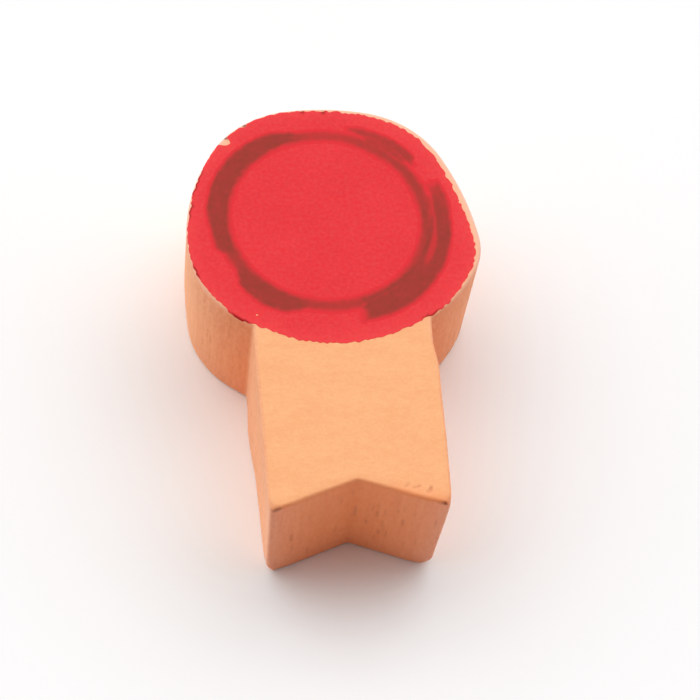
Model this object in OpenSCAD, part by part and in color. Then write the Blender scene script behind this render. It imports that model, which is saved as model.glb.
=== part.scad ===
// Wooden game token in the shape of a wax seal on a short swallow-tailed ribbon.
// The blank is sliced from a milled wooden profile, tumbled, stained and screen
// printed on its upper face. Sizes are in millimetres, at real size.
// The underside lies on Z = 0, the ribbon hangs towards -Y, and the origin is
// the middle of the seal.

/* [Blank] */
// Thickness of the wooden blank
blank_t = 8; // [6:0.5:12]
// Radius of the tumbled edges
edge_r = 0.2; // [0.1:0.05:0.3]

/* [Seal corners] */
// Middle of the near right corner circle, across
near_right_x = 4.75; // [4.3:0.05:5.2]
// Middle of the near right corner circle, along
near_right_y = -1.45; // [-1.9:0.05:-1]
// Radius of the near right corner
near_right_r = 3.55; // [3:0.05:4]
// Middle of the far right corner circle, across
far_right_x = 1.1; // [0.7:0.05:1.5]
// Middle of the far right corner circle, along
far_right_y = 1.85; // [1.5:0.05:2.2]
// Radius of the far right corner
far_right_r = 6.15; // [5.6:0.05:6.6]
// Middle of the far left corner circle, across
far_left_x = -1.4; // [-1.8:0.05:-1]
// Middle of the far left corner circle, along
far_left_y = 1.9; // [1.5:0.05:2.3]
// Radius of the far left corner
far_left_r = 6.2; // [5.7:0.05:6.6]
// Middle of the near left corner circle, across
near_left_x = -2.6; // [-3:0.05:-2.2]
// Middle of the near left corner circle, along
near_left_y = -1.6; // [-2:0.05:-1.2]
// Radius of the near left corner
near_left_r = 5.55; // [5:0.05:6]

/* [Seal sides] */
// Radius of the flat curve along the right side
right_side_r = 17.9; // [14:0.1:24]
// Radius of the flat curve along the far side
far_side_r = 13.3; // [11:0.1:18]
// Radius of the flat curve along the left side
left_side_r = 11.1; // [9.5:0.1:14]
// Radius of the curve along the near side, which the ribbon covers
near_side_r = 9.15; // [8.8:0.05:11]

/* [Ribbon] */
// Length from the middle of the seal to the tips of the tails
ribbon_l = 17.85; // [14:0.05:24]
// Width at the middle of the seal
ribbon_root_w = 10.1; // [9:0.05:11]
// Width across the tips of the tails
ribbon_tail_w = 9.6; // [8:0.05:11]
// Depth of the notch between the tails
notch_d = 1.65; // [0.8:0.05:4]
// Depth that is worn off each tail's tip
tip_wear = 0.12; // [0.05:0.01:0.3]

/* [Seal print] */
// Thickness of one pass of ink
ink_t = 0.05; // [0.03:0.01:0.1]
// Bare border between the print and the rounded edge, where the print is centred
print_margin = 0.12; // [0.12:0.02:0.6]
// Misprint across
print_shift_x = -0.1; // [-0.1:0.05:0.1]
// Misprint along
print_shift_y = -0.05; // [-0.1:0.05:0.1]

/* [Ring line] */
// Middle of the ring within the print, across
ring_x = -0.3; // [-0.8:0.05:0.8]
// Middle of the ring within the print, along
ring_y = 0.4; // [-0.8:0.05:0.8]
// Inner radius of the ring
ring_r = 5.58; // [4.5:0.02:6]
// Width of the thin line that runs right round
ring_line_w = 0.5; // [0.3:0.05:0.7]

/* [Ring strokes] */
// Gap between the thin line and the lifted end of a stroke
stroke_gap = 0.3; // [0.1:0.02:0.4]
// Turn over which a stroke lifts off the line, in degrees
lift_turn = 15; // [8:1:18]
// Width at the tip of a stroke
stroke_tip_w = 0.12; // [0.06:0.02:0.2]

/* [Left stroke] */
// Direction in which the long stroke on the left starts, in degrees from +X
left_stroke_from = 88; // [80:1:100]
// Direction in which it ends
left_stroke_to = 204; // [190:1:208]
// Its full width, with the line under it
left_stroke_w = 1.28; // [0.9:0.02:1.6]
// Turn over which it swells
left_stroke_swell_turn = 52; // [10:1:60]
// Turn over which it thins
left_stroke_thin_turn = 10; // [4:1:40]

/* [Near left stroke] */
// Direction in which the short stroke at the near left starts, in degrees from +X
near_left_stroke_from = 210; // [206:1:220]
// Direction in which it ends
near_left_stroke_to = 263; // [250:1:270]
// Its full width, with the line under it
near_left_stroke_w = 1.28; // [0.9:0.02:1.6]
// Turn over which it swells
near_left_stroke_swell_turn = 14; // [4:1:20]
// Turn over which it thins
near_left_stroke_thin_turn = 30; // [10:1:36]

/* [Right stroke] */
// Direction in which the broad stroke on the right starts, in degrees from +X
right_stroke_from = 284; // [275:1:290]
// Direction in which it ends, past one full turn
right_stroke_to = 382; // [370:1:388]
// Its full width, with the line under it
right_stroke_w = 1.72; // [1.2:0.02:1.8]
// Turn over which it swells
right_stroke_swell_turn = 3; // [2:1:20]
// Turn over which it thins
right_stroke_thin_turn = 8; // [4:1:40]

/* [Far right stroke] */
// Direction in which the brushed stroke at the far right starts, in degrees from +X
far_right_stroke_from = 37; // [32:1:42]
// Direction in which it ends
far_right_stroke_to = 75; // [68:1:80]
// Its full width, with the line under it
far_right_stroke_w = 1.34; // [1:0.02:1.6]
// Turn over which it swells
far_right_stroke_swell_turn = 4; // [2:1:12]
// Turn over which it thins
far_right_stroke_thin_turn = 14; // [6:1:20]

/* [Hidden] */
$fn = 160;

wood = [0.98, 0.72, 0.51];
red_ink = [0.92, 0.25, 0.27];
dark_ink = [0.63, 0.26, 0.23];

// Steps in a quarter turn of a rounded edge
round_steps = 4;
// Angle between the points along the seal's arcs
arc_step = 5;
// Angle between the points along a brush stroke
stroke_step = 3;

// Corner circles in turn, counter-clockwise, and the side that follows each of them
corners = [
    [near_right_x, near_right_y, near_right_r],
    [far_right_x, far_right_y, far_right_r],
    [far_left_x, far_left_y, far_left_r],
    [near_left_x, near_left_y, near_left_r]
];
side_r = [right_side_r, far_side_r, left_side_r, near_side_r];

function next(i) = (i + 1) % len(corners);
function previous(i) = (i + len(corners) - 1) % len(corners);
function place(c) = [c[0], c[1]];
function polar(radius, angle) = radius * [cos(angle), sin(angle)];
function heading(from, to) = atan2(to[1] - from[1], to[0] - from[0]);
function sweep(from, to) = to > from ? to - from : to - from + 360;

// Middle of an arc of the given radius that runs smoothly into corner circles a and b
function side_middle(a, b, radius) =
    let(
        apart = norm(place(b) - place(a)),
        along = (place(b) - place(a)) / apart,
        inward = [-along[1], along[0]],
        to_a = radius - a[2],
        to_b = radius - b[2],
        reach = (to_a * to_a - to_b * to_b + apart * apart) / (2 * apart)
    )
    place(a) + reach * along + sqrt(to_a * to_a - reach * reach) * inward;

side_middles = [for (i = [0:len(corners) - 1]) side_middle(corners[i], corners[next(i)], side_r[i])];

// Directions in which each corner's arc starts and ends
corner_from = [for (i = [0:len(corners) - 1]) heading(side_middles[previous(i)], corners[i])];
corner_to = [for (i = [0:len(corners) - 1]) heading(side_middles[i], corners[i])];

// Points along an arc, without its last one
function arc_points(middle, radius, from, turn) =
    let(steps = ceil(turn / arc_step))
    [for (i = [0:steps - 1]) middle + polar(radius, from + turn * i / steps)];

// Outline of the wax seal, drawn in by inset all round: corner and side arcs in turn
function seal_points(inset) = [
    for (i = [0:len(corners) - 1])
        let(
            corner_turn = sweep(corner_from[i], corner_to[i]),
            side_turn = sweep(corner_to[i], corner_from[next(i)])
        )
        each concat(
            arc_points(place(corners[i]), corners[i][2] - inset, corner_from[i], corner_turn),
            arc_points(side_middles[i], side_r[i] - inset, corner_to[i], side_turn)
        )
];

// Seal with tumbled edges: thinner slabs reach further out, and the hull rounds them off
module seal_slab() {
    hull()
        for (i = [0:round_steps]) {
            rise = edge_r * (1 - sin(90 * i / round_steps));
            draw_in = edge_r * (1 - cos(90 * i / round_steps));
            translate([0, 0, rise])
                linear_extrude(blank_t - 2 * rise)
                    polygon(seal_points(draw_in));
        }
}

// Points of a quarter circle that starts in the given direction
function quarter(x, y, radius, from) =
    [for (i = [0:round_steps]) [x, y] + polar(radius, from + 90 * i / round_steps)];

// Upright section of the blank behind a straight wall, with tumbled edges
function wall_section(depth) = concat(
    [[0, 0]],
    quarter(depth - edge_r, edge_r, edge_r, -90),
    quarter(depth - edge_r, blank_t - edge_r, edge_r, 0),
    [[0, blank_t]]
);

// Straight wall of the blank: solid behind an outer face that passes through point
module wall(point, facing, depth, length) {
    translate(point)
        rotate([0, 0, facing])
            translate([-depth, length / 2, 0])
                rotate([90, 0, 0])
                    linear_extrude(length)
                        polygon(wall_section(depth));
}

// Directions that the right wall and the right notch face look in, and the tip between them
ribbon_taper = atan2((ribbon_root_w - ribbon_tail_w) / 2, ribbon_l);
notch_slope = atan2(notch_d, ribbon_tail_w / 2);
side_facing = -ribbon_taper;
notch_facing = -90 - notch_slope;
tip_facing = (side_facing + notch_facing) / 2;
tip = [ribbon_tail_w / 2, -ribbon_l];
worn_tip = tip - polar(tip_wear, tip_facing);
// Reach of a wall past everything that it is cut by
wall_reach = 2 * ribbon_l;

module both_sides() {
    children();
    mirror([1, 0, 0]) children();
}

// Ribbon with a notched end: side walls and worn tips cut it, and either notch face backs it
module ribbon_slab() {
    intersection() {
        wall(tip, side_facing, wall_reach, wall_reach);
        mirror([1, 0, 0]) wall(tip, side_facing, wall_reach, wall_reach);
        wall(worn_tip, tip_facing, wall_reach, 2 * wall_reach);
        mirror([1, 0, 0]) wall(worn_tip, tip_facing, wall_reach, 2 * wall_reach);
        both_sides() wall(tip, notch_facing, wall_reach, wall_reach);
    }
}

// Brush strokes: first and last direction, width, turn over which each swells and turn over which
// it thins, and whether it lifts off the thin line at its start and at its end
strokes = [
    [left_stroke_from, left_stroke_to, left_stroke_w,
        left_stroke_swell_turn, left_stroke_thin_turn, false, false],
    [near_left_stroke_from, near_left_stroke_to, near_left_stroke_w,
        near_left_stroke_swell_turn, near_left_stroke_thin_turn, false, false],
    [right_stroke_from, right_stroke_to, right_stroke_w,
        right_stroke_swell_turn, right_stroke_thin_turn, false, true],
    [far_right_stroke_from, far_right_stroke_to, far_right_stroke_w,
        far_right_stroke_swell_turn, far_right_stroke_thin_turn, true, true]
];

function eased(share) = sin(90 * max(0, min(1, share)));

// Outline of one stroke: out along its outer edge, and back along the edge on the thin line
function stroke_points(stroke) =
    let(
        from = stroke[0],
        to = stroke[1],
        full = ring_r + stroke[2],
        swell_turn = stroke[3],
        thin_turn = stroke[4],
        lifts_in = stroke[5],
        lifts_out = stroke[6],
        steps = ceil((to - from) / stroke_step),
        angles = [for (i = [0:steps]) from + (to - from) * i / steps],
        on_line = ring_r + ring_line_w / 2,
        off_line = ring_r + ring_line_w + stroke_gap,
        drop_in = full - (lifts_in ? off_line : on_line) - stroke_tip_w,
        drop_out = full - (lifts_out ? off_line : on_line) - stroke_tip_w,
        outer = [for (a = angles) full - max(
            drop_in * (1 - eased((a - from) / swell_turn)),
            drop_out * (1 - eased((to - a) / thin_turn)))],
        lifted = [for (a = angles) max(
            lifts_in ? 1 - eased((a - from) / lift_turn) : 0,
            lifts_out ? 1 - eased((to - a) / lift_turn) : 0)],
        inner = [for (share = lifted) on_line + share * (off_line - on_line)]
    )
    concat(
        [for (i = [0:steps]) polar(outer[i], angles[i])],
        [for (i = [steps:-1:0]) polar(inner[i], angles[i])]
    );

module token_blank() {
    color(wood) {
        seal_slab();
        ribbon_slab();
    }
}

module seal_print() {
    color(red_ink)
        translate([print_shift_x, print_shift_y, blank_t])
            linear_extrude(ink_t)
                polygon(seal_points(edge_r + print_margin));
}

module ring_print() {
    color(dark_ink)
        translate([print_shift_x + ring_x, print_shift_y + ring_y, blank_t + ink_t])
            linear_extrude(ink_t) {
                difference() {
                    circle(ring_r + ring_line_w);
                    circle(ring_r);
                }
                for (stroke = strokes)
                    polygon(stroke_points(stroke));
            }
}

token_blank();
seal_print();
ring_print();
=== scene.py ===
"""Looks of a wooden game token: a wax seal on a short ribbon, printed red with a brushed ring.

All sizes below are in millimetres, in the part's own frame: the underside lies on Z = 0, the
ribbon points to -Y and the origin is the middle of the seal. Directions are in degrees,
counter-clockwise from +X, seen from the middle of the ring. Meshes are made in metres.
"""

import math

import bpy
import numpy as np
from mathutils import Matrix, Vector, noise
from mathutils.geometry import delaunay_2d_cdt


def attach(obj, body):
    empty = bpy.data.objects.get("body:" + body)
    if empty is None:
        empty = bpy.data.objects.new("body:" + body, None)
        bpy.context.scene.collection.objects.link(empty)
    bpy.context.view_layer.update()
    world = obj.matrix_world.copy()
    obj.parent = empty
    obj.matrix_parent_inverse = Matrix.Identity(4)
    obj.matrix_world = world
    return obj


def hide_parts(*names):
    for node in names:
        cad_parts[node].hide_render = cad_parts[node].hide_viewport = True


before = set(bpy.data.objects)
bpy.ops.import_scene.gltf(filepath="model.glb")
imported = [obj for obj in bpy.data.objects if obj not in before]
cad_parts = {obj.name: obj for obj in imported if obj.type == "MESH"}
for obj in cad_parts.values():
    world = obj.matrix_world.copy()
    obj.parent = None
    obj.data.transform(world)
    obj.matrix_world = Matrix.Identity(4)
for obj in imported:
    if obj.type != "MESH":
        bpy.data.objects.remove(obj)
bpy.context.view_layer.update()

MM = 0.001

# Wooden blank: the same values as in the part's source
BLANK_T = 8.0
CORNERS = ((4.75, -1.45, 3.55), (1.1, 1.85, 6.15), (-1.4, 1.9, 6.2), (-2.6, -1.6, 5.55))
SIDE_R = (17.9, 13.3, 11.1, 9.15)
RIBBON_L = 17.85
RIBBON_ROOT_W = 10.1
RIBBON_TAIL_W = 9.6
NOTCH_D = 1.65
TIP_WEAR = 0.12

TAIL_HALF = RIBBON_TAIL_W / 2
NOTCH_Y = NOTCH_D - RIBBON_L

# Tumbled edges of the blank: radii, how unevenly they swing, and spots of that per millimetre
EDGE_R = 0.17
NOTCH_EDGE_R = 0.21
BASE_R = 0.22
EDGE_R_SWING = 0.05
BASE_R_SWING = 0.04
EDGE_R_SPOTS = 0.45
CORNER_SOFT = 0.09
# Share of the outline's own curve that an edge radius may take, and the least bend that counts
CURVE_SHARE = 0.8
LEAST_BEND = 1e-3
# Columns to either side over which a radius takes the least, and then the mean
LEAST_OVER = 3
MEAN_OVER = 2
# Where the edge counts as the notch's: beyond its middle and short of the tips
NOTCH_MARGIN = 0.1
TIP_MARGIN = 0.15

# How far the cut blank strays from its drawing: seal by direction, ribbon's right side by Y,
# ribbon's end by X
SEAL_SWAY = ((0, 0.09), (20, 0.1), (40, 0.12), (60, 0.1), (75, 0.05), (90, 0), (150, 0),
             (165, 0.05), (185, 0.13), (200, 0.09), (215, 0.02), (230, 0), (300, 0), (330, 0.07),
             (360, 0.09))
RIBBON_SWAY = ((-17.9, 0.1), (-17, 0.15), (-14, 0.2), (-12, 0.19), (-9.4, 0.2), (-8, 0))
END_SWAY = ((-5, -0.1), (-3.5, -0.2), (-0.4, -0.13), (0.4, -0.11), (3.5, -0.17), (5, -0.08))
# Where the sway of the ribbon's right side and of its end sets in and is full
RIBBON_SWAY_X = (2.8, 4.6)
END_SWAY_Y = (NOTCH_Y + 0.5, NOTCH_Y + 0.2)
# How far its left and right sides lean in towards the underside, by Y
LEFT_LEAN = ((-17.85, 0.27), (-16, 0.21), (-14, 0.18), (-12, 0.12), (-11, 0.02), (-10, -0.06),
             (-9, -0.09), (-7.5, 0))
RIGHT_LEAN = ((-17.85, 0.1), (-15, 0.05), (-12, 0))
RIGHT_LEAN_Z = (6.5, 0.5)

# Wear of the blank: place, direction in which the wood is gone, depth and reach
WEAR = (
    ((-4.75, -17.8, 0.0), (0.9, 0.1, 0.15), 0.3, 0.45),
    ((4.85, -17.9, 0.0), (-0.85, 0.15, 0.2), 0.54, 0.47),
    ((-4.74, -17.85, 8.0), (0.3, 0.25, -0.6), 0.12, 0.3),
    ((4.86, -17.82, 8.0), (-0.6, 0.2, -0.5), 0.14, 0.28),
    ((-8.4, -0.75, 0.0), (1.0, 0.0, 0.0), 0.13, 1.7),
)
# Dark scuffs on the wood: place, reach across, along and up, how dark
SCUFFS = (
    ((-4.44, -17.8, 7.8), (0.4, 0.22, 0.2), 0.68),
    ((4.56, -17.8, 7.9), (0.27, 0.17, 0.13), 0.78),
    ((4.35, -17.8, 7.85), (0.34, 0.16, 0.09), 0.4),
    ((-1.21, 8.0, 7.9), (0.22, 0.12, 0.14), 0.7),
    ((0.03, 7.99, 7.9), (0.22, 0.12, 0.14), 0.7),
    ((-4.66, 7.0, 7.93), (0.22, 0.16, 0.16), 1.0),
    ((-5.74, 6.08, 7.93), (0.22, 0.16, 0.16), 1.0),
)
# Pits in the ribbon's upper face: across, along, half length, half width, turn, how deep
PITS = (
    (2.61, -16.75, 0.26, 0.12, 44, 0.35),
    (3.0, -16.9, 0.14, 0.1, 10, 0.3),
    (3.22, -16.85, 0.18, 0.11, 20, 0.4),
    (3.76, -17.14, 0.2, 0.15, 45, 0.5),
    (3.86, -17.02, 0.22, 0.13, 75, 0.75),
)
PIT_D = 0.05
PIT_DARK = 0.6
# How far the finer mesh round a pit goes, in sizes of the pit
PIT_ROOM = 2.5
# Where spots begin and are full, as shares of their reach
PIT_EDGE = (1.2, 0.3)
SCUFF_EDGE = (1.1, 0.5)
SOFT_EDGE = (1.2, 0.4)
PORE_ENDS = (1, 0.5)

# Pores of the upright faces: how many, how high up, their sizes, how dark and how deep
PORE_SEED = 7
PORE_COUNT = 230
PORE_Z = (0.3, 7.7)
PORE_LENGTH = (0.35, 1.3)
PORE_WIDTH = (0.05, 0.07)
PORE_DARK = (0.08, 0.4)
PORE_D = 0.03
# How many widths from a pore's middle still count
PORE_REACH = 3
# Pores that show in the notch: across, up and length of each
NOTCH_PORES = ((-3.47, 3.72, 1.3), (0.12, 4.3, 1.6), (0.84, 3.36, 0.6), (1.29, 4.78, 0.6),
               (1.55, 2.53, 0.6), (2.7, 4.54, 1.0))
NOTCH_PORE_WIDTH = 0.09
NOTCH_PORE_DARK = 0.45
# Fibres of the upright faces: depth, spots per millimetre, and width as a share of length
FIBRE_D = 0.012
FIBRE_SPOTS = 2.6
FIBRE_SQUEEZE = 0.12
# Pores and fibres begin this far from the upper and lower edge
GRAIN_MARGIN = 0.5

# Looks of the wood by place. The upper side begins at these heights
UPPER_Z = (BLANK_T - 0.3, BLANK_T - 0.05)
# Paler wood: rubbed wear, how much and how far from the upper edge, by Y; paler near the tips;
# painted light towards the walls' foot, by Z
EDGE_RUB, EDGE_RUB_REACH, EDGE_RUB_Y = 0.75, 0.5, (-9, 0)
TIP_PALE, TIP_PALE_REACH = 0.28, 1.2
FOOT_LIGHT, FOOT_LIGHT_Z = 0.07, (3, 0.5)
# Painted shade in the front walls' colour: over the notch's upper edge, and more of it on the
# right, by X
NOTCH_EDGE_SHADE, NOTCH_EDGE_SHADE_REACH = 0.6, 0.15
RIGHT_EDGE_SHADE, RIGHT_EDGE_SHADE_REACH, RIGHT_EDGE_SHADE_X = 0.45, 0.5, (1, 2.5)
# Painted shade: how much darker the left and right walls get towards the top, by Z, and how far
# round the tips
WALL_TOP_SHADE, WALL_TOP_SHADE_Z, WALL_TOP_SHADE_TIP = (0.12, 0.05), (2.5, 7.6), (0.6, 0.2)

# Red print, and how far it stays within the blank's edge
RED_INSET = 0.18
RED_SHIFT = np.array((-0.106, -0.04))
RED_T = 0.012
RED_MARGIN = 0.015
# Fine teeth that the screen's mesh leaves along the edge: the mesh's pitch and turn, how closely
# the edge follows it, and how far and at which pitch it swings besides
MESH_PITCH = 0.27
MESH_TURN = 38.0
TOOTH = 0.5
TOOTH_SWING = 0.1
TOOTH_PITCH = 0.34
# Where the print reaches further or less far: direction, reach and half width of the bulge
RED_BULGES = ((45, 0.08, 18), (110, 0.04, 40), (122, 0.06, 22), (165, 0.06, 16), (190, 0.14, 14),
              (204, 0.05, 4), (217, -0.05, 8), (231, 0.1, 5), (243, -0.12, 9), (316, 0.14, 9),
              (330, 0.12, 9))
# Bites out of the print's edge: directions and depths along each
RED_BITES = (
    ((132.7, 0), (133.1, 0.3), (134, 0.47), (135.4, 0.46), (136.7, 0.32), (137.6, 0.1),
     (138.1, 0)),
    ((121.2, 0), (121.8, 0.14), (123, 0.22), (124.6, 0.13), (125.2, 0)),
    ((6.2, 0), (7, 0.1), (7.8, 0)),
)
# Holes where ink is missing: across, along, half length, half width, turn
RED_HOLES = ((-0.67, 5.82, 0.06, 0.05, 0), (-4.72, -5.97, 0.06, 0.05, 0))
# A hole's uneven edge: degrees per point, swing, lobes and their turn
HOLE_STEP, HOLE_SWING, HOLE_LOBES, HOLE_TURN = 20, 0.2, 3, 50
# Where ink ran over the edge and dried dark: direction and half turn
RED_RUNS = ((204.5, 3.5), (231.5, 4.5), (310.0, 4.5), (160.0, 9.0), (175.0, 5.0), (95.9, 1.2),
            (86.6, 1.2))
# How far in from the edge the runs reach, and the paler ink of the rim
RUN_REACH = (0.16, 0.03)
RIM_REACH = 0.6
# How far both films reach into what lies below them
SINK = 0.012

# Dark ring
RING_MIDDLE = np.array((-0.42, 0.36))
RING_R = 5.58
RING_T = 0.003
# Thin line that runs right round: direction, inner and outer radius, how much ink
RING_LINE = ((0, 5.52, 6.16, 0.87), (12, 5.5, 6.17, 0.86), (25, 5.49, 6.18, 0.8),
             (36, 5.49, 6.16, 0.8), (60, 5.48, 6.12, 0.76), (75, 5.52, 6.08, 0.66),
             (94, 5.52, 6.08, 0.65), (110, 5.54, 6.15, 0.8), (200, 5.51, 6.2, 0.84),
             (212, 5.51, 6.22, 0.84), (250, 5.54, 6.15, 0.8), (259, 5.56, 6.14, 0.78),
             (283, 5.555, 6.17, 0.78), (290, 5.54, 6.16, 0.8), (360, 5.52, 6.16, 0.87))
# Brush strokes on the line: how much ink, outer and inner radius, each by direction; and how
# many degrees its first end slants per millimetre inwards
STROKES = (
    (((96, 0.66), (108, 1), (196, 1), (205, 0.84)),
     ((96, 6.02), (100, 6.08), (104, 6.2), (108, 6.36), (112, 6.52), (116, 6.63), (120, 6.7),
      (128, 6.78), (140, 6.83), (160, 6.83), (172, 6.79), (180, 6.67), (188, 6.56), (194, 6.58),
      (197.5, 6.55), (199.5, 6.4), (202, 6.2), (205, 6.1)),
     ((96, 5.57), (205, 5.57)), 0),
    (((210, 0.84), (216, 1), (248, 1), (258, 0.78)),
     ((210, 6.1), (213, 6.2), (216, 6.42), (219, 6.62), (224, 6.77), (230, 6.85), (238, 6.84),
      (244, 6.74), (248, 6.61), (252, 6.4), (255, 6.2), (258, 6.04)),
     ((210, 5.57), (250, 5.57), (258, 5.7)), 0),
    (((284.6, 1), (355, 1), (368, 0.92), (374, 0.76), (379, 0.68)),
     ((284.6, 7.05), (288, 7.1), (292, 7.16), (300, 7.25), (315, 7.3), (335, 7.3), (350, 7.22),
      (360, 7.19), (368, 7.22), (374, 7.2), (379, 7.15)),
     ((284.6, 5.57), (352, 5.8), (360, 6.1), (366, 6.25), (370, 6.35), (374, 6.48),
      (379, 6.55)), 1.3),
    (((35, 0.8), (73, 0.74)),
     ((35, 6.55), (37, 6.86), (41, 6.96), (48, 6.98), (56, 6.94), (60, 6.88), (64, 6.82),
      (68, 6.78), (71, 6.73), (73, 6.6)),
     ((35, 6.44), (40, 6.36), (60, 6.32), (68, 6.36), (73, 6.46)), 0),
    (((38, 0.74), (64, 0.7)), ((38, 6.4), (44, 6.52), (58, 6.52), (64, 6.4)),
     ((38, 6.0), (64, 6.0)), 0),
    (((0, 0.64), (15, 0.6)), ((0, 6.5), (8, 6.45), (12, 6.4), (15, 6.2)),
     ((0, 6.0), (15, 6.0)), 0),
)
# Dry streaks in the ink: direction, radius, half turn, half width, how dry
STREAKS = ((340, 6.34, 13, 0.25, 0.55), (358, 6.3, 15, 0.13, 0.4), (54, 6.3, 8, 0.06, 0.14),
           (2, 6.95, 9, 0.3, 0.1))
# How fast a stroke narrows towards its ends, and degrees of room past an end beyond 360
END_SLOPE = 0.6
END_ROOM = 10
# Ragged edges: swing, spots per radian round the ring and per millimetre outwards, seed
BRISTLES = (0.05, 4.84, 4.5, 5)
RAGGED = (0.05, 20, 3.2, 6)
# How much the ink's amount swings per millimetre of the edge's swing
RAGGED_INK = 2
# How far the ink fades at the edges of the strokes and of the line
INK_FADE = 0.18
LINE_FADE = 0.24
# How far inside and outside the ring's radius its film may reach
RING_INSIDE = 0.5
RING_OUTSIDE = 2.1

# Mesh edges that turn further than this look sharp
SHARP = math.radians(40)
# Fineness of the meshes
FINE_STEP = 0.02
COLUMN_STEP = 0.065
WALL_ROWS = 48
ROUND_ROWS = 6
UPPER_STEP = 0.3
UNDER_STEP = 0.5
PIT_STEP = 0.045
# Least room between a flat face's inner points and its rim, and the share of a step added to it
RIM_GAP = 0.05
RIM_GAP_SHARE = 0.4
RED_STEP = 0.05
TOOTH_STEP = 0.04
RED_RIM_STEP = 0.035
# Red film: fine points over the rounded edge, coarse ones elsewhere, and where each set begins
RED_FINE_STEP, RED_FINE_ROOM = 0.06, 0.06
RED_COARSE_STEP, RED_COARSE_ROOM = 0.25, 0.12
RED_GAP = 0.03
RING_TURN_STEP = 0.36
RING_RADIUS_STEP = 0.04
RING_GAP = 0.045
# Points handled at a time, and how close two points may come before they count as one
BLOCK = 2000
WELD = 1e-9
# How far noise moves from one seed to the next
SEED_SHIFT = (17.3, 5.1, -9.7)

# Photograph's camera
IMAGE_SIDE = 700
FOCAL_PIXELS = 2000
CAMERA_TARGET = (0.256, -8.358, 8.0)
CAMERA_DISTANCE = 109.94
CAMERA_ELEVATION = 59.1055
CAMERA_TURN = -13.9542
CAMERA_ROLL = 10.6042
SENSOR = 36.0
CLIP_METRES = (0.001, 20)

# Stage: half the floor's side, and soft lamps round the token, each with its turn from +Y towards
# +X, lift above the floor and brightness
FLOOR_HALF_METRES = 1.5
LAMPS = ((-90, 8, 0.59), (-45, 8, 0.45), (180, 8, 0.5), (-80, 20, 0.86), (80, 20, 1.36),
         (-80, 45, 0.42), (-40, 45, 2.22), (40, 45, 2.62), (0, 70, 0.67))
LAMP_NARROW = 9.0


def srgb(*levels):
    """Linear colour of a surface that reads as these 8-bit levels."""
    def linear(level):
        c = level / 255
        return c / 12.92 if c <= 0.04045 else ((c + 0.055) / 1.055) ** 2.4
    return tuple(linear(v) for v in levels) + (1.0,)


# Colours
WHITE = (1, 1, 1, 1)
FACE_PALE = srgb(255, 187, 130)
FACE_DEEP = srgb(249, 168, 110)
# Pale wood of rubbed edges and of the tips; towards the walls' foot it is painted light
RUB_AND_LIGHT = srgb(255, 201, 182)
SIDE_PALE = srgb(255, 181, 130)
SIDE_DEEP = srgb(244, 163, 112)
# Colours of walls that face the front, and partly of those that face right: painted shade
FRONT_SHADE_PALE = srgb(255, 146, 85)
FRONT_SHADE_DEEP = srgb(244, 128, 65)
PORE = srgb(170, 56, 20)
# Dark scuffs; the same colour also paints shade towards the top of the left and right walls
SCUFF_AND_SHADE = srgb(128, 38, 8)
RED = srgb(235, 41, 52)
RED_RIM = srgb(243, 58, 64)
RED_RUN = srgb(170, 14, 10)
RED_THIN = srgb(246, 100, 94)
DARK = srgb(150, 53, 40)

# Surfaces: span of roughness, gloss, and depth and strength of the fine relief
WOOD_ROUGH, WOOD_GLOSS, WOOD_RELIEF = (0.5, 0.72), 0.5, (0.04, 0.35)
INK_ROUGH, INK_GLOSS, INK_RELIEF = (0.46, 0.62), 0.15, (0.02, 0.25)
# Span that the noise of the materials mostly keeps within
NOISE_SPAN = (0.3, 0.7)
# How upright the normal is where walls end and where flat faces begin
LEVEL_SPAN = (0.95, 0.999)
# How much a wall that looks to the right takes of the front's painted-shade colour
RIGHT_SHADE_SHARE = 0.35
# How much of their own colour pores and runs take at most
PORE_SHARE = 0.7
RUN_SHARE = 0.9
# Noise: spots per millimetre along X, Y and Z, detail and roughness
WOOD_SPECKS = ((5, 6.5, 2.5), 3, 0.6)
WOOD_FIBRES = ((2.6, 2.6, 0.2), 4, 0.6)
WOOD_CLOUDS = ((0.5, 1.1, 0.3), 3, 0.55)
YEAR_RINGS = ((1.7, 2.6, 1), 2, 0.55)
RED_CLOUDS = ((0.35, 0.35, 0.35), 3, 0.55)
RED_MOTTLE = ((2.6, 2.6, 2.6), 3, 0.65)
RED_SPECKS = ((9, 9, 9), 2, 0.55)
RED_PATCHES = ((4.5, 4.5, 4.5), 2, 0.55)
DARK_MOTTLE = ((3.2, 3.2, 3.2), 3, 0.6)
DARK_CLOUDS = ((0.9, 0.9, 0.9), 2, 0.55)
# How much of the deeper colour each noise brings to the walls and to the flat faces
WALL_BY_FIBRES, WALL_BY_SPECKS = (0, 0.55), (0, 0.45)
FACE_BY_CLOUDS, FACE_BY_RINGS, FACE_BY_SPECKS = (0, 0.3), (0, 0.35), (0, 0.35)
# How the specks break up the scuffs and the painted shade of the walls: their span, and what
# becomes of it
SCUFF_AND_SHADE_BY_SPECKS = (0.35, 0.6, 0.55, 1)
# How each noise makes the red ink lighter or darker, and thinner
RED_TONE_BY_CLOUDS, RED_TONE_BY_MOTTLE = (0.98, 1.02), (0.965, 1.02)
THIN_BY_CLOUDS = (0, 0.05)
THIN_BY_PATCHES = (0.35, 0.75, 0, 0.22)
PINHOLES_BY_SPECKS = (0.7, 0.8, 0, 0.35)
# How each noise dries the dark ink, and makes it lighter or darker
DRY_BY_MOTTLE, DRY_BY_CLOUDS, DARK_TONE = (0.82, 1.0), (0.93, 1.0), (0.97, 1.03)


# Small helpers


def polar(radius, degrees):
    a = np.radians(degrees)
    return np.stack([radius * np.cos(a), radius * np.sin(a)], axis=-1)


def bearing(points):
    """Direction of each point from the origin, from 0 to 360."""
    x, y = points.T
    return np.degrees(np.arctan2(y, x)) % 360


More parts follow.
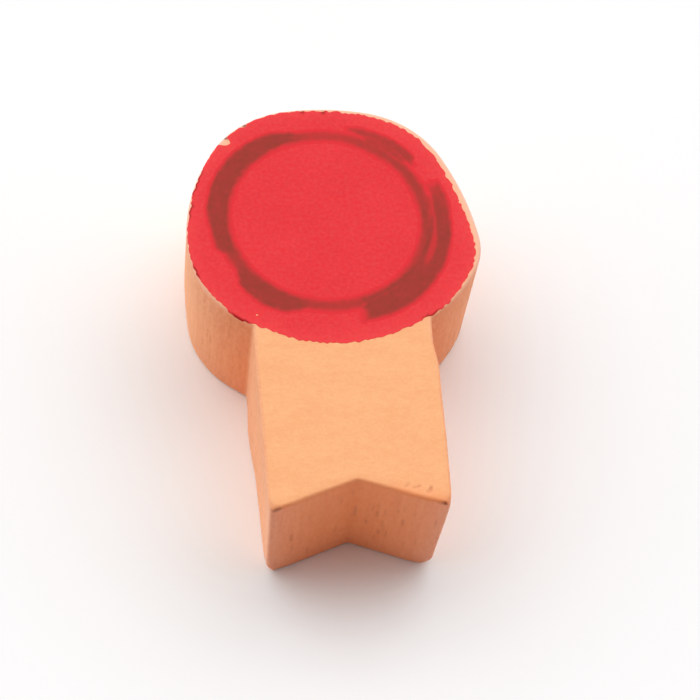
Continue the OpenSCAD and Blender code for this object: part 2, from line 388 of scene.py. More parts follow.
def smoothstep(low, high, x):
    t = np.clip((np.asarray(x, float) - low) / (high - low), 0, 1)
    return t * t * (3 - 2 * t)


def follow(table, at):
    """Value at each place, read off a table of places and values."""
    return np.interp(at, *np.array(table, float).T)


def perlin(points, scale, seed):
    """Smooth noise from about -1 to 1 at each point."""
    shift = Vector([seed * s for s in SEED_SHIFT])
    return np.array([noise.noise(Vector(p) * scale + shift) for p in points])


def blocks(count):
    """The numbers below count, in blocks that are small enough to handle at a time."""
    return np.array_split(np.arange(count), max(1, count // BLOCK))


def neighbours(values, reach):
    """The values along a closed loop, once for each shift up to this reach."""
    return [np.roll(values, k) for k in range(-reach, reach + 1)]


# Outlines


def heading(a, b):
    return math.degrees(math.atan2(b[1] - a[1], b[0] - a[0]))


def seal_outline(step):
    """The wax seal: corner and side arcs in turn, counter-clockwise, with no inset."""
    places = [np.array(c[:2]) for c in CORNERS]
    radii = [c[2] for c in CORNERS]
    n = len(CORNERS)
    middles = []
    for i in range(n):
        a, b = places[i], places[(i + 1) % n]
        apart = np.linalg.norm(b - a)
        along = (b - a) / apart
        inward = np.array((-along[1], along[0]))
        to_a, to_b = SIDE_R[i] - radii[i], SIDE_R[i] - radii[(i + 1) % n]
        reach = (to_a**2 - to_b**2 + apart**2) / (2 * apart)
        middles.append(a + reach * along + math.sqrt(to_a**2 - reach**2) * inward)
    starts = [heading(middles[i - 1], places[i]) for i in range(n)]
    ends = [heading(middles[i], places[i]) for i in range(n)]
    points = []
    for i in range(n):
        follows = starts[(i + 1) % n]
        for middle, radius, a, b in (
            (places[i], radii[i], starts[i], ends[i]),
            (middles[i], SIDE_R[i], ends[i], follows),
        ):
            turn = (b - a) % 360
            steps = max(2, math.ceil(math.radians(turn) * radius / step))
            points.append(middle + polar(radius, a + turn * np.arange(steps) / steps))
    return np.concatenate(points)


def ribbon_half_width(y):
    return (RIBBON_ROOT_W + (RIBBON_ROOT_W - RIBBON_TAIL_W) * y / RIBBON_L) / 2


def resample(loop, step):
    """Points at even steps along a closed loop."""
    closed = np.vstack([loop, loop[:1]])
    length = np.concatenate([[0], np.cumsum(np.linalg.norm(np.diff(closed, axis=0), axis=1))])
    count = int(round(length[-1] / step))
    at = np.arange(count) * length[-1] / count
    return np.stack([np.interp(at, length, closed[:, k]) for k in (0, 1)], axis=1)


def soften(loop, reach):
    """The evenly stepped loop with its corners rounded off over the given reach."""
    perimeter = np.linalg.norm(loop - np.roll(loop, 1, axis=0), axis=1).sum()
    waves = np.fft.fftfreq(len(loop)) * len(loop) / perimeter
    spectrum = np.fft.fft(loop[:, 0] + 1j * loop[:, 1])
    soft = np.fft.ifft(spectrum * np.exp(-0.5 * (2 * np.pi * waves * reach) ** 2))
    return np.stack([soft.real, soft.imag], axis=1)


def outward(loop):
    along = np.roll(loop, -1, axis=0) - np.roll(loop, 1, axis=0)
    along /= np.linalg.norm(along, axis=1)[:, None]
    return np.stack([along[:, 1], -along[:, 0]], axis=1)


def ribbon_tail():
    """Corners of the ribbon's notched end, from its left side round to its right side."""
    slope = math.atan2(NOTCH_D, TAIL_HALF)
    taper = math.atan2((RIBBON_ROOT_W - RIBBON_TAIL_W) / 2, RIBBON_L)
    worn_off = TIP_WEAR / math.cos((math.pi / 2 - slope + taper) / 2)
    left_tip, right_tip = np.array((-TAIL_HALF, -RIBBON_L)), np.array((TAIL_HALF, -RIBBON_L))
    up_left = np.array((-math.sin(taper), math.cos(taper)))
    up_right = np.array((math.sin(taper), math.cos(taper)))
    in_left = np.array((math.cos(slope), math.sin(slope)))
    in_right = np.array((-math.cos(slope), math.sin(slope)))
    return [
        left_tip + worn_off * up_left,
        left_tip + worn_off * in_left,
        np.array((0, NOTCH_Y)),
        right_tip + worn_off * in_right,
        right_tip + worn_off * up_right,
    ]


def blank_outline():
    """Seal and ribbon as one counter-clockwise loop with slightly rounded corners."""
    seal = seal_outline(FINE_STEP)
    on_ribbon = (seal[:, 1] < 0) & (np.abs(seal[:, 0]) < ribbon_half_width(seal[:, 1]))
    start = np.flatnonzero(on_ribbon & ~np.roll(on_ribbon, -1))[0] + 1
    seal, on_ribbon = np.roll(seal, -start, axis=0), np.roll(on_ribbon, -start)
    drawn = np.vstack([seal[~on_ribbon], ribbon_tail()])
    loop = soften(resample(drawn, FINE_STEP), CORNER_SOFT)
    on_seal = follow(SEAL_SWAY, bearing(loop - RING_MIDDLE)) * (loop[:, 1] > -RIBBON_L / 2)
    loop = loop + outward(loop) * on_seal[:, None]
    loop[:, 0] += follow(RIBBON_SWAY, loop[:, 1]) * smoothstep(*RIBBON_SWAY_X, loop[:, 0])
    loop[:, 1] += follow(END_SWAY, loop[:, 0]) * smoothstep(*END_SWAY_Y, loop[:, 1])
    return resample(loop, COLUMN_STEP)


def fitting(radius):
    """Edge radii that stay within the outline's own curve where it turns outward sharply."""
    ahead, behind = np.roll(facing, -1, axis=0), np.roll(facing, 1, axis=0)
    bend = np.arcsin(np.clip(behind[:, 0] * ahead[:, 1] - behind[:, 1] * ahead[:, 0], -1, 1))
    limit = CURVE_SHARE * 2 * COLUMN_STEP / np.maximum(bend, LEAST_BEND)
    least = np.min(neighbours(np.minimum(radius, limit), LEAST_OVER), axis=0)
    return np.mean(neighbours(least, MEAN_OVER), axis=0)


outline = blank_outline()
facing = outward(outline)
columns = len(outline)
in_notch = (outline[:, 1] < NOTCH_Y + NOTCH_MARGIN) & (
    np.abs(outline[:, 0]) < TAIL_HALF - TIP_MARGIN)
outline_3d = np.column_stack([outline, np.zeros(columns)])
top_r = fitting(np.where(in_notch, NOTCH_EDGE_R, EDGE_R)
                + EDGE_R_SWING * perlin(outline_3d, EDGE_R_SPOTS, seed=1))
base_r = fitting(BASE_R + BASE_R_SWING * perlin(outline_3d, EDGE_R_SPOTS, seed=2))


# Meshes


def make_piece(name, points, faces, node, material, values):
    """A piece that stands for a CAD node. Points are in millimetres; values are per point."""
    mesh = bpy.data.meshes.new(name)
    mesh.from_pydata((np.asarray(points) * MM).tolist(), [], [list(map(int, f)) for f in faces])
    mesh.validate()
    mesh.shade_smooth()
    mesh.set_sharp_from_angle(angle=SHARP)
    for key, numbers in values.items():
        layer = mesh.attributes.new(key, "FLOAT", "POINT")
        layer.data.foreach_set("value", np.asarray(numbers, np.float32))
    mesh.materials.append(material)
    piece = bpy.data.objects.new(name, mesh)
    bpy.context.scene.collection.objects.link(piece)
    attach(piece, "root")
    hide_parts(node)


def inside(points, starts, ends):
    """Whether each point lies within the closed loops made of these edges."""
    crossings = np.zeros(len(points), int)
    for block in blocks(len(points)):
        x, y = points[block, 0][:, None], points[block, 1][:, None]
        spans = (starts[:, 1] > y) != (ends[:, 1] > y)
        rise = np.where(ends[:, 1] == starts[:, 1], 1, ends[:, 1] - starts[:, 1])
        at = starts[:, 0] + (y - starts[:, 1]) / rise * (ends[:, 0] - starts[:, 0])
        crossings[block] = (spans & (x < at)).sum(axis=1)
    return crossings % 2 == 1


def within_loop(points, loop):
    return points[inside(points, loop, np.roll(loop, -1, axis=0))]


def fill(points, edges):
    """Triangles over all points, kept within the closed loops that the edges make."""
    edges = np.asarray(edges)
    made = delaunay_2d_cdt(
        [Vector(p) for p in points], [tuple(map(int, e)) for e in edges], [], 0, WELD)
    corners = np.array([v[:] for v in made[0]])
    triangles = np.array([f for f in made[2] if len(f) == 3])
    source = np.array([ids[0] if ids else -1 for ids in made[3]])
    assert (source >= 0).all(), "the loops to fill cross each other"
    middles = corners[triangles].mean(axis=1)
    keep = inside(middles, points[edges[:, 0]], points[edges[:, 1]])
    return source[triangles[keep]]


def lattice(low, high, step):
    """Points of an even triangular lattice over a box."""
    rows = np.arange(low[1], high[1], step * math.sqrt(3) / 2)
    x, y = np.meshgrid(np.arange(low[0], high[0], step), rows)
    x = x + np.where(np.arange(len(rows)) % 2, step / 2, 0)[:, None]
    return np.stack([x.ravel(), y.ravel()], axis=1)


def lattice_over(loop, step):
    return lattice(loop.min(axis=0), loop.max(axis=0), step)


def loop_edges(count, first=0):
    ids = np.arange(count)
    return np.stack([ids, (ids + 1) % count], axis=1) + first


def nearest(points, loop):
    """Distance to the closest point of a dense loop, and that point's number."""
    distance, number = np.empty(len(points)), np.empty(len(points), int)
    for block in blocks(len(points)):
        gap = ((points[block, None, :2] - loop[None]) ** 2).sum(axis=2)
        number[block] = gap.argmin(axis=1)
        distance[block] = np.sqrt(gap.min(axis=1))
    return distance, number


# Wooden blank


def blank_top(points):
    """Height of the blank's upper side at points given across and along."""
    distance, number = nearest(points, outline)
    radius = top_r[number]
    short = np.clip(radius - distance, 0, radius)
    return BLANK_T - radius + np.sqrt(radius**2 - short**2)


def wall_pores(height):
    """How dark a pore makes each point of the wall, from 0 to 1."""
    rng = np.random.default_rng(PORE_SEED)
    along = np.arange(columns) * COLUMN_STEP
    girth = columns * COLUMN_STEP
    spans = ((0, girth), PORE_Z, PORE_LENGTH, PORE_WIDTH, PORE_DARK)
    pores = list(zip(*(rng.uniform(*span, PORE_COUNT) for span in spans)))
    notch = np.flatnonzero(in_notch)
    for x, z, length in NOTCH_PORES:
        column = notch[np.abs(outline[notch, 0] - x).argmin()]
        pores.append((along[column], z, length, NOTCH_PORE_WIDTH, NOTCH_PORE_DARK))
    darkness = np.zeros_like(height)
    for place, z, length, width, dark in pores:
        off = np.abs(along - place)
        off = np.minimum(off, girth - off)
        near = np.flatnonzero(off < PORE_REACH * width)
        across = np.exp(-((off[near] / width) ** 2))
        up = smoothstep(*PORE_ENDS, np.abs(height[:, near] - z) / (length / 2))
        darkness[:, near] = np.maximum(darkness[:, near], dark * across * up)
    return darkness


def pit_depth(points, grown=1.0):
    """How deep each point of the upper face lies in a pit, from 0 to 1."""
    depth = np.zeros(len(points))
    for x, y, half_length, half_width, turn, deep in PITS:
        off = (points - (x, y)) @ np.array([polar(1, turn), polar(1, turn + 90)]).T
        off = np.hypot(off[:, 0] / half_length, off[:, 1] / half_width) / grown
        depth = np.maximum(depth, deep * smoothstep(*PIT_EDGE, off))
    return depth


def pit_points():
    """Extra points for the upper face's mesh where it has pits."""
    made = []
    for x, y, half_length, *_ in PITS:
        reach = PIT_ROOM * half_length
        fine = lattice((x - reach, y - reach), (x + reach, y + reach), PIT_STEP)
        made.append(fine[pit_depth(fine, PIT_ROOM) > 0])
    return np.vstack(made)


def blank_wall():
    """Points of the wall and its rounded edges, row by row from below, and their pores."""
    turn = np.linspace(0, math.pi / 2, ROUND_ROWS)[:, None]
    share = np.linspace(0, 1, WALL_ROWS + 1)[1:-1, None]
    wall_low, wall_high = base_r[None], BLANK_T - top_r[None]
    inset = np.vstack([
        base_r * (1 - np.sin(turn)),
        np.zeros((len(share), columns)),
        top_r * (1 - np.cos(turn)),
    ])
    height = np.vstack([
        base_r * (1 - np.cos(turn)),
        wall_low + share * (wall_high - wall_low),
        BLANK_T - top_r * (1 - np.sin(turn)),
    ])
    rows = len(inset)
    upright = smoothstep(0, GRAIN_MARGIN, height)
    upright = upright * smoothstep(BLANK_T, BLANK_T - GRAIN_MARGIN, height)
    pores = wall_pores(height) * upright
    grain = np.column_stack([np.tile(outline, (rows, 1)), FIBRE_SQUEEZE * height.ravel()])
    fibre = perlin(grain, FIBRE_SPOTS, seed=3).reshape(rows, columns)
    inset = inset + upright * (PORE_D * pores + FIBRE_D * (1 + fibre) / 2)
    place = outline[None] - facing[None] * inset[..., None]
    return np.concatenate([place, height[..., None]], axis=2), pores


def worn(points):
    """The points with the wood of the worn places gone."""
    for middle, inward, deep, reach in WEAR:
        off = np.linalg.norm(points - middle, axis=1) / reach
        inward = np.array(inward) / np.linalg.norm(inward)
        points = points + deep * np.exp(-off**2)[:, None] * inward
    points[:, 2] = np.clip(points[:, 2], 0, BLANK_T)
    return points


def leaning(points):
    """The points with the ribbon's sides leaning in towards the underside."""
    x, y, z = points.T
    left = follow(LEFT_LEAN, y) * (1 - z / BLANK_T)
    right = follow(RIGHT_LEAN, y) * smoothstep(*RIGHT_LEAN_Z, z)
    left = left * smoothstep(TAIL_HALF, -TAIL_HALF / 2, x)
    right = right * smoothstep(TAIL_HALF / 2, TAIL_HALF, x)
    return np.column_stack([x + left - right, y, z])


def scuffed(points):
    """How dark the scuffs make each point."""
    dark = np.zeros(len(points))
    for middle, reach, darkest in SCUFFS:
        off = np.linalg.norm((points - middle) / np.array(reach), axis=1)
        dark = np.maximum(dark, darkest * smoothstep(*SCUFF_EDGE, off))
    return dark


def wood_marks(straight, placed):
    """Rubbed wear and paler tips, painted light at the walls' foot, and painted shade at the
    notch's edge and towards the walls' top, at points before and after they lean.
    """
    x, y, z = straight.T
    upper = smoothstep(*UPPER_Z, z)
    wall = 1 - upper
    edge = nearest(placed, outline)[0]
    from_notch = nearest(placed, outline[in_notch])[0]
    beside = np.abs(TAIL_HALF - np.abs(x))
    from_tip = np.hypot(beside, RIBBON_L + y)

    rub_and_light = EDGE_RUB * upper * np.exp(-edge / EDGE_RUB_REACH) * smoothstep(*EDGE_RUB_Y, y)
    # Paler near the tips
    rub_and_light += TIP_PALE * wall * np.exp(-from_tip / TIP_PALE_REACH)
    # Painted light: the walls grow paler towards the foot
    rub_and_light += FOOT_LIGHT * wall * smoothstep(*FOOT_LIGHT_Z, z)

    # Painted shade: the notch's upper edge takes the front walls' colour
    edge_shade = NOTCH_EDGE_SHADE * np.exp(-from_notch / NOTCH_EDGE_SHADE_REACH)
    on_right = smoothstep(*RIGHT_EDGE_SHADE_X, x)
    edge_shade += RIGHT_EDGE_SHADE * np.exp(-from_notch / RIGHT_EDGE_SHADE_REACH) * on_right
    edge_shade *= upper

    on_side = np.maximum(y > NOTCH_Y, smoothstep(*WALL_TOP_SHADE_TIP, beside))
    # Painted shade: the left and right walls grow darker towards the top
    top_shade = np.where(x < 0, *WALL_TOP_SHADE) * on_side * wall * smoothstep(*WALL_TOP_SHADE_Z, z)
    return rub_and_light, edge_shade, top_shade


def build_blank(material):
    wall, pores = blank_wall()
    rows = len(wall)
    points, pores = wall.reshape(-1, 3), pores.ravel()

    faces = []
    ids = np.arange(columns)
    after = np.roll(ids, -1)
    for row in range(rows - 1):
        low, high = row * columns, (row + 1) * columns
        faces += np.stack([low + ids, low + after, high + after, high + ids], axis=1).tolist()

    for row, step, upward in ((rows - 1, UPPER_STEP, True), (0, UNDER_STEP, False)):
        ring = ids + row * columns
        rim = points[ring, :2]
        spread = lattice_over(rim, step)
        if upward:
            spread = np.vstack([spread[pit_depth(spread, PIT_ROOM) == 0], pit_points()])
        spread = within_loop(spread, rim)
        gap = RIM_GAP + RIM_GAP_SHARE * step * (pit_depth(spread) == 0)
        spread = spread[nearest(spread, rim)[0] > gap]
        pits = pit_depth(spread) * upward
        height = (BLANK_T if upward else 0) - PIT_D * pits
        triangles = fill(np.vstack([rim, spread]), loop_edges(columns))
        triangles = np.concatenate([ring, len(points) + np.arange(len(spread))])[triangles]
        faces += (triangles if upward else triangles[:, ::-1]).tolist()
        points = np.vstack([points, np.column_stack([spread, height])])
        pores = np.concatenate([pores, PIT_DARK * pits])

    scuff_and_shade = scuffed(points)
    straight = worn(points)
    placed = leaning(straight)
    rub_and_light, edge_shade, top_shade = wood_marks(straight, placed)
    # The scuff values also carry the walls' painted shade, the rub values painted light at the
    # foot, and the stain values painted shade at the notch's edge
    make_piece("token_wood", placed, faces, "token_blank", material,
               {"pore": pores, "scuff_and_shade": np.maximum(scuff_and_shade, top_shade), "rub_and_light": rub_and_light, "edge_shade": edge_shade})


# Printed films


def film(name, flat, edges, thickness, under, node, material, values):
    """A closed film over flat points: it follows the surface given by under."""
    triangles = fill(flat, edges)
    count = len(flat)
    base = under(flat)
    points = np.vstack([
        np.column_stack([flat, base + thickness]),
        np.column_stack([flat, base - SINK]),
    ])
    sides = np.concatenate([triangles[:, [0, 1]], triangles[:, [1, 2]], triangles[:, [2, 0]]])
    made = {tuple(e) for e in sides.tolist()}
    rim = sorted((a, b) for a, b in made if (b, a) not in made)
    faces = triangles.tolist() + (triangles[:, ::-1] + count).tolist()
    faces += [(b, a, a + count, b + count) for a, b in rim]
    values = {key: np.concatenate([v, v]) for key, v in values.items()}
    make_piece(name, points, faces, node, material, values)


def within_blank(loop):
    """The loop moved in where it would hang over the blank's edge."""
    number = nearest(loop, outline)[1]
    beyond = ((loop - outline[number]) * facing[number]).sum(axis=1)
    over = np.clip(beyond + RED_MARGIN, 0, None)
    return loop - facing[number] * over[:, None]


def red_outline():
    """The print's edge: the seal's outline drawn in and shifted, with the screen's fine teeth."""
    loop = resample(seal_outline(FINE_STEP), RED_STEP)
    loop = resample(loop - outward(loop) * RED_INSET + RED_SHIFT, RED_STEP)
    direction = bearing(loop - RING_MIDDLE)
    more = np.zeros(len(loop))
    for middle, reach, half_width in RED_BULGES:
        more += reach * np.exp(-(((direction - middle) / half_width) ** 2))
    uneven = perlin(np.column_stack([loop, np.zeros(len(loop))]), 1 / TOOTH_PITCH, seed=4)
    loop = loop + outward(loop) * (more + TOOTH_SWING * uneven)[:, None]
    axes = np.array([polar(1, MESH_TURN), polar(1, MESH_TURN + 90)])
    on_mesh = loop @ axes.T
    on_mesh -= TOOTH * MESH_PITCH / (2 * np.pi) * np.sin(2 * np.pi * on_mesh / MESH_PITCH)
    loop = resample(on_mesh @ axes, TOOTH_STEP)
    direction = bearing(loop - RING_MIDDLE)
    bitten = sum(follow(bite, direction) for bite in RED_BITES)
    return within_blank(loop - polar(1, direction) * bitten[:, None])


def hole_outline(x, y, half_length, half_width, turn):
    """An uneven small oval where ink is missing."""
    at = np.arange(0, 360, HOLE_STEP)
    reach = 1 + HOLE_SWING * np.sin(np.radians(HOLE_LOBES * at + HOLE_TURN))
    long_way, cross_way = (polar(reach, at) * (half_length, half_width)).T
    return (x, y) + long_way[:, None] * polar(1, turn) + cross_way[:, None] * polar(1, turn + 90)


def build_red(material):
    rim = resample(red_outline(), RED_RIM_STEP)
    rounded = EDGE_R + EDGE_R_SWING
    fine = lattice_over(rim, RED_FINE_STEP)
    fine = fine[nearest(fine, outline)[0] < rounded + RED_FINE_ROOM]
    coarse = lattice_over(rim, RED_COARSE_STEP)
    coarse = coarse[nearest(coarse, outline)[0] > rounded + RED_COARSE_ROOM]
    spread = within_loop(np.vstack([fine, coarse]), rim)
    edges = [loop_edges(len(rim))]
    loops = rim
    for hole in RED_HOLES:
        hole = hole_outline(*hole)
        edges.append(loop_edges(len(hole), len(loops)))
        loops = np.vstack([loops, hole])
    spread = spread[nearest(spread, loops)[0] > RED_GAP]
    flat = np.vstack([loops, spread])
    from_rim = nearest(flat, rim)[0]
    direction = bearing(flat - RING_MIDDLE)
    run = np.zeros(len(flat))
    for middle, half_turn in RED_RUNS:
        share = np.abs(direction - middle) / half_turn
        run = np.maximum(run, smoothstep(*SOFT_EDGE, share) * smoothstep(*RUN_REACH, from_rim))
    film("red_film", flat, np.vstack(edges), RED_T, blank_top, "seal_print", material,
         {"rim": np.exp(-from_rim / RIM_REACH), "run": run})


def ink_noise(angle, radius, swing, round_ring, per_mm, seed):
    """Noise with so many spots per radian round the ring and per millimetre outwards."""
    places = np.concatenate([polar(round_ring, angle), per_mm * radius[..., None]], axis=-1)
    return swing * perlin(places.reshape(-1, 3), 1, seed).reshape(np.shape(angle))


def ring_field(angle, radius):
    """How far inside the ring's film each place is, in millimetres, and how much ink it takes."""
    line = np.array(RING_LINE).T
    inner, outer, strength = (np.interp(angle, line[0], row) for row in line[1:])
    ragged = ink_noise(angle, radius, *BRISTLES) + ink_noise(angle, radius, *RAGGED)
    depth = np.minimum(radius - inner, outer - radius) + ragged
    reach = depth + LINE_FADE
    ink = strength * smoothstep(-LINE_FADE, LINE_FADE, depth)
    for inking, outer_edge, inner_edge, slant in STROKES:
        first, last = outer_edge[0][0], outer_edge[-1][0]
        turned = np.where(angle < last - 360 + END_ROOM, angle + 360, angle)
        strength, outer, inner = (follow(t, turned) for t in (inking, outer_edge, inner_edge))
        first = first + slant * np.clip(outer - radius, 0, None)
        ends = np.minimum(turned - first, last - turned) * math.radians(1) * RING_R
        depth = np.minimum(np.minimum(outer - radius, radius - inner), END_SLOPE * ends) + ragged
        reach = np.maximum(reach, depth + INK_FADE)
        ink = np.maximum(ink, strength * smoothstep(-INK_FADE, INK_FADE, depth))
    for direction, middle, half_turn, half_width, dry in STREAKS:
        off = (angle - direction + 180) % 360 - 180
        share = np.hypot(off / half_turn, (radius - middle) / half_width)
        ink = ink * (1 - dry * smoothstep(*SOFT_EDGE, share))
    return reach, np.clip(ink * (1 + RAGGED_INK * ragged), 0, 1)


def contour(value, angles, radii):
    """Points and edges where the field over (angle, radius) passes through zero."""
    n_a = len(value)
    step = angles[1] - angles[0]
    points, edges, known = [], [], {}

    def crossing(i, j, k, m):
        key = (i % n_a, j, k % n_a, m)
        if key not in known:
            a, b = value[i % n_a, j], value[k % n_a, m]
            t = a / (a - b)
            known[key] = len(points)
            points.append(polar(radii[j] + t * (radii[m] - radii[j]),
                                (i + t * (k - i)) * step + angles[0]))
        return known[key]

    positive = value > 0
    mixed = positive.astype(int) + np.roll(positive, -1, axis=0)
    mixed = mixed[:, :-1] + mixed[:, 1:]
    for i, j in np.argwhere((mixed > 0) & (mixed < 4)):
        ring = ((i, j), (i + 1, j), (i + 1, j + 1), (i, j + 1))
        cuts = []
        for a in range(4):
            p, q = ring[a], ring[(a + 1) % 4]
            if positive[p[0] % n_a, p[1]] != positive[q[0] % n_a, q[1]]:
                cuts.append(crossing(*min(p, q), *max(p, q)))
        for a in range(0, len(cuts), 2):
            if cuts[a] != cuts[a + 1]:
                edges.append((cuts[a], cuts[a + 1]))
    return np.array(points), edges


def build_ring(material):
    angles = np.arange(0, 360, RING_TURN_STEP)
    radii = np.arange(RING_R - RING_INSIDE, RING_R + RING_OUTSIDE, RING_RADIUS_STEP)
    angle, radius = np.meshgrid(angles, radii, indexing="ij")
    depth = ring_field(angle, radius)[0]
    points, edges = contour(depth, angles, radii)
    kept = depth > RING_GAP
    # Every second point, row by row in turn, is enough
    kept[::2, 1::2] = False
    kept[1::2, ::2] = False
    flat = np.vstack([points, polar(radius[kept], angle[kept])])
    ink = ring_field(bearing(flat), np.linalg.norm(flat, axis=1))[1]
    film("ring_film", flat + RING_MIDDLE, edges, RING_T, lambda p: blank_top(p) + RED_T,
         "ring_print", material, {"ink": ink})


# Materials


class Nodes:
    """A node tree, and short ways to add nodes to it."""

    def __init__(self, tree):
        self.tree = tree

    def add(self, kind, inputs=None, **settings):
        node = self.tree.nodes.new(kind)
        for key, value in settings.items():
            setattr(node, key, value)
        for key, value in (inputs or {}).items():
            self.put(node.inputs[key], value)
        return node

    def put(self, socket, value):
        if isinstance(value, bpy.types.NodeSocket):
            self.tree.links.new(value, socket)
        else:
            socket.default_value = value

    def math(self, operation, a, b=0.0):
        return self.add("ShaderNodeMath", {0: a, 1: b}, operation=operation).outputs[0]


class Shader(Nodes):
    """The nodes of a material, whose surface takes the values put to it."""

    def __init__(self, name):
        self.material = bpy.data.materials.new(name)
        self.material.use_nodes = True
        super().__init__(self.material.node_tree)
        self.surface = self.tree.nodes["Principled BSDF"].inputs
        self.coord = self.add("ShaderNodeTexCoord").outputs

    def spread(self, value, low, high, to_low, to_high):
        """The value's span from low to high, carried over to another span."""
        node = self.add("ShaderNodeMapRange",
                        {0: value, 1: low, 2: high, 3: to_low, 4: to_high})
        return node.outputs[0]

    def swing(self, value, low, high):
        """Noise carried over to swing between low and high."""
        return self.spread(value, *NOISE_SPAN, low, high)

    def mix(self, share, first, second):
        node = self.add("ShaderNodeMix", {0: share, 6: first, 7: second}, data_type="RGBA")
        return node.outputs[2]

    def grain(self, per_mm, detail, roughness):
        """Noise from 0 to 1 with so many spots per millimetre along each axis."""
        scale = [n / MM for n in per_mm]
        place = self.add("ShaderNodeMapping", {0: self.coord["Object"], "Scale": scale})
        node = self.add("ShaderNodeTexNoise", {
            "Vector": place.outputs[0], "Scale": 1.0, "Detail": detail, "Roughness": roughness})
        return node.outputs[0]

    def value(self, name):
        return self.add("ShaderNodeAttribute", attribute_name=name).outputs["Fac"]

    def tone(self, colour, factor):
        """The colour made lighter or darker by a factor."""
        return self.add("ShaderNodeHueSaturation", {"Value": factor, "Color": colour}).outputs[0]

    def dress(self, colour, rough, gloss, relief=None, depth=0.0, strength=0.0):
        """Puts colour, roughness, gloss and fine relief to the surface."""
        self.put(self.surface["Base Color"], colour)
        self.put(self.surface["Roughness"], rough)
        self.put(self.surface["Specular IOR Level"], gloss)
        if relief is not None:
            bump = self.add("ShaderNodeBump", {
                "Height": relief, "Distance": depth * MM, "Strength": strength})
            self.put(self.surface["Normal"], bump.outputs[0])
        return self.material


def wood_material():
    """Peach stained wood: long fibres up the walls, end grain on the flat faces."""
    s = Shader("stained_wood")
    to_right, to_back, up = s.add("ShaderNodeSeparateXYZ", {0: s.coord["Normal"]}).outputs
    level = s.spread(s.math("ABSOLUTE", up), *LEVEL_SPAN, 0, 1)
    # Walls that face the front, and a share of those that face right, take the deeper front
    # colours: painted shade
    to_front = s.math("MINIMUM", to_back, 0.0)
    to_right = s.math("MAXIMUM", to_right, 0.0)
    facing_shade = s.math("ADD", s.math("MULTIPLY", to_front, to_front),
                   s.math("MULTIPLY", s.math("MULTIPLY", to_right, to_right), RIGHT_SHADE_SHARE))
    specks = s.grain(*WOOD_SPECKS)

    fibres = s.grain(*WOOD_FIBRES)
    deep = s.math("ADD", s.swing(fibres, *WALL_BY_FIBRES), s.swing(specks, *WALL_BY_SPECKS))
    wall = s.mix(deep, s.mix(facing_shade, SIDE_PALE, FRONT_SHADE_PALE), s.mix(facing_shade, SIDE_DEEP, FRONT_SHADE_DEEP))

    clouds = s.swing(s.grain(*WOOD_CLOUDS), *FACE_BY_CLOUDS)
    rings = s.swing(s.grain(*YEAR_RINGS), *FACE_BY_RINGS)
    stained = s.math("ADD", rings, s.swing(specks, *FACE_BY_SPECKS))
    stained = s.math("ADD", clouds, stained)
    face = s.mix(stained, FACE_PALE, FACE_DEEP)

    # Paler rubbed wood and tips, and painted light at the walls' foot
    colour = s.mix(s.value("rub_and_light"), s.mix(level, wall, face), RUB_AND_LIGHT)
    # Painted shade along the notch's upper edge, in the front walls' colour
    colour = s.mix(s.value("edge_shade"), colour, FRONT_SHADE_PALE)
    colour = s.mix(s.math("MULTIPLY", s.value("pore"), PORE_SHARE), colour, PORE)
    # Dark scuffs, and painted shade towards the top of the walls
    scuff_and_shade = s.math("MULTIPLY", s.value("scuff_and_shade"), s.spread(specks, *SCUFF_AND_SHADE_BY_SPECKS))
    colour = s.mix(scuff_and_shade, colour, SCUFF_AND_SHADE)
    relief = s.add("ShaderNodeMix", {0: level, 2: fibres, 3: specks}, data_type="FLOAT")
    return s.dress(colour, s.swing(specks, *WOOD_ROUGH), WOOD_GLOSS, relief.outputs[0],
                   *WOOD_RELIEF)


def red_material():
    """Red screen ink: slightly mottled, with a few pinholes and the wood's unevenness."""
    s = Shader("red_ink")
    clouds = s.grain(*RED_CLOUDS)
    mottle = s.grain(*RED_MOTTLE)
    patches = s.spread(s.grain(*RED_PATCHES), *THIN_BY_PATCHES)
    pinholes = s.spread(s.grain(*RED_SPECKS), *PINHOLES_BY_SPECKS)
    thin = s.math("ADD", s.swing(clouds, *THIN_BY_CLOUDS), patches)
    tone = s.math("MULTIPLY", s.swing(clouds, *RED_TONE_BY_CLOUDS),
                  s.swing(mottle, *RED_TONE_BY_MOTTLE))
    colour = s.mix(s.value("rim"), RED, RED_RIM)
    colour = s.mix(s.math("ADD", thin, pinholes), colour, RED_THIN)
    colour = s.mix(s.math("MULTIPLY", s.value("run"), RUN_SHARE), colour, RED_RUN)
    return s.dress(s.tone(colour, tone), s.swing(mottle, *INK_ROUGH), INK_GLOSS, mottle,
                   *INK_RELIEF)


def dark_material():
    """Dark ink: full in the thick strokes, thin and reddish along the line and the edges."""
    s = Shader("dark_ink")
    mottle = s.grain(*DARK_MOTTLE)
    clouds = s.grain(*DARK_CLOUDS)
    dry = s.math("MULTIPLY", s.swing(mottle, *DRY_BY_MOTTLE), s.swing(clouds, *DRY_BY_CLOUDS))
    colour = s.mix(s.math("MULTIPLY", s.value("ink"), dry), RED, DARK)
    colour = s.tone(colour, s.swing(mottle, *DARK_TONE))
    return s.dress(colour, s.swing(mottle, *INK_ROUGH), INK_GLOSS, mottle, *INK_RELIEF)


# Stage


def build_floor():
    """A plain white floor that takes the token's shadow."""
    mesh = bpy.data.meshes.new("floor")
    side = FLOOR_HALF_METRES
    mesh.from_pydata([(-side, -side, 0), (side, -side, 0), (side, side, 0), (-side, side, 0)],
                     [], [(0, 1, 2, 3)])
    mesh.materials.append(Shader("floor_white").dress(WHITE, rough=1.0, gloss=0.0))
    floor = bpy.data.objects.new("floor", mesh)
    bpy.context.scene.collection.objects.link(floor)


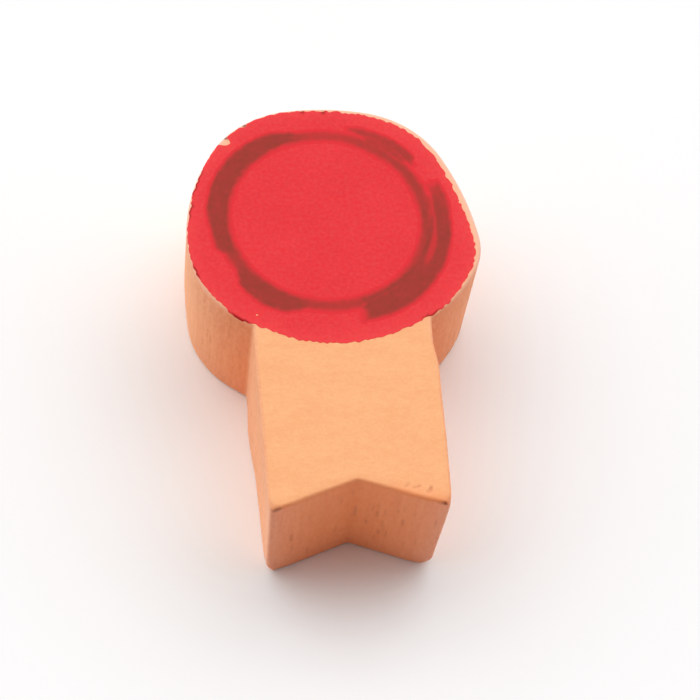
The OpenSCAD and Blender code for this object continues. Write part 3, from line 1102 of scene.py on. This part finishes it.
def seen_directly(nodes):
    """1 for rays from the camera, and for those that only mirror or pass through."""
    path = nodes.add("ShaderNodeLightPath").outputs
    mirrored = nodes.math("MAXIMUM", path["Is Camera Ray"], path["Is Glossy Ray"])
    return nodes.math("MAXIMUM", mirrored, path["Is Transmission Ray"])


def build_world():
    """A white studio lit by wide soft lamps, most of them behind the token."""
    world = bpy.data.worlds.new("studio")
    world.use_nodes = True
    nodes = Nodes(world.node_tree)
    direction = nodes.add("ShaderNodeTexCoord").outputs["Generated"]
    total = 0.0
    for turn, lift, brightness in LAMPS:
        t, e = math.radians(turn), math.radians(lift)
        lamp = (math.sin(t) * math.cos(e), math.cos(t) * math.cos(e), math.sin(e))
        towards = nodes.add("ShaderNodeVectorMath", {0: direction, 1: lamp},
                            operation="DOT_PRODUCT").outputs["Value"]
        glow = nodes.math("POWER", nodes.math("MAXIMUM", towards, 0.0), LAMP_NARROW)
        total = nodes.math("ADD", nodes.math("MULTIPLY", glow, brightness), total)
    seen = seen_directly(nodes)
    unseen = nodes.math("SUBTRACT", 1.0, seen)
    strength = nodes.math("ADD", nodes.math("MULTIPLY", total, unseen), seen)
    background = world.node_tree.nodes["Background"].inputs
    nodes.put(background["Color"], WHITE)
    nodes.put(background["Strength"], strength)
    bpy.context.scene.world = world


def build_camera():
    data = bpy.data.cameras.new("photo_camera")
    data.sensor_width = SENSOR
    data.lens = FOCAL_PIXELS / IMAGE_SIDE * SENSOR
    data.clip_start, data.clip_end = CLIP_METRES
    camera = bpy.data.objects.new("photo_camera", data)
    bpy.context.scene.collection.objects.link(camera)
    bpy.context.scene.camera = camera
    turn, lift, roll = (math.radians(v) for v in (CAMERA_TURN, CAMERA_ELEVATION, CAMERA_ROLL))
    back = Vector((math.sin(turn) * math.cos(lift), -math.cos(turn) * math.cos(lift),
                   math.sin(lift)))
    right = Vector((math.cos(turn), math.sin(turn), 0))
    up = back.cross(right)
    tilted = math.cos(roll) * right + math.sin(roll) * up
    above = math.cos(roll) * up - math.sin(roll) * right
    pose = Matrix((tilted, above, back)).transposed().to_4x4()
    pose.translation = (Vector(CAMERA_TARGET) + CAMERA_DISTANCE * back) * MM
    camera.matrix_world = pose


build_blank(wood_material())
build_red(red_material())
build_ring(dark_material())
build_floor()
build_world()
build_camera()
bpy.context.scene.view_settings.view_transform = "Standard"
